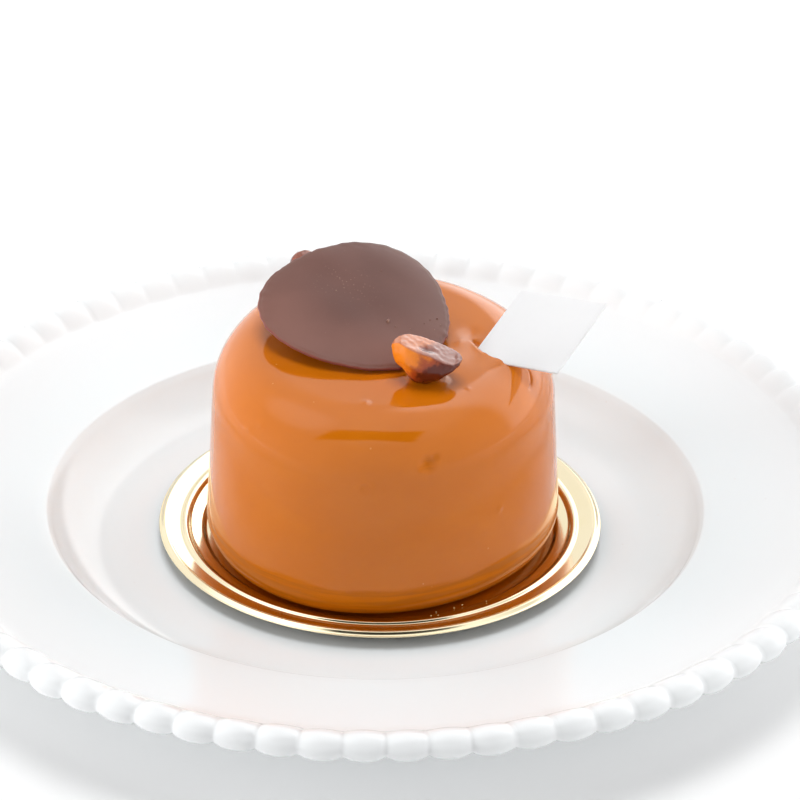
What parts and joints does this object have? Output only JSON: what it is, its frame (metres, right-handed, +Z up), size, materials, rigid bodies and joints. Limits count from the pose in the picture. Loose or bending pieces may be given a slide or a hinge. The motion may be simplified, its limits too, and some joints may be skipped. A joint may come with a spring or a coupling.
{
  "type": "entremet on plate",
  "caption": "Caramel-glazed round entremet with a chocolate disc, caramelised nuts and a small white card, on a gold board and a white beaded plate.",
  "frame": {"origin": "centre of the plate's foot ring, on the table", "axes": "+Z up; the diner and the front of the dessert are on the -Y side; +X to the diner's right, where the card is"},
  "size_m": [0.1984, 0.1982, 0.0585],
  "materials": {
    "porcelain": "glossy white glaze",
    "gold_card": "polished gold foil",
    "caramel_glaze": "wet mirror glaze",
    "chocolate": "satin",
    "caramel_nut": "glossy caramel",
    "white_card": "smooth"
  },
  "bodies": {
    "root": {"plate": "porcelain", "board": "gold_card", "cake": "caramel_glaze", "chocolate_disc": "chocolate", "nut_front": "caramel_nut", "nut_back": "caramel_nut", "card": "white_card"}
  },
  "joints": []
}
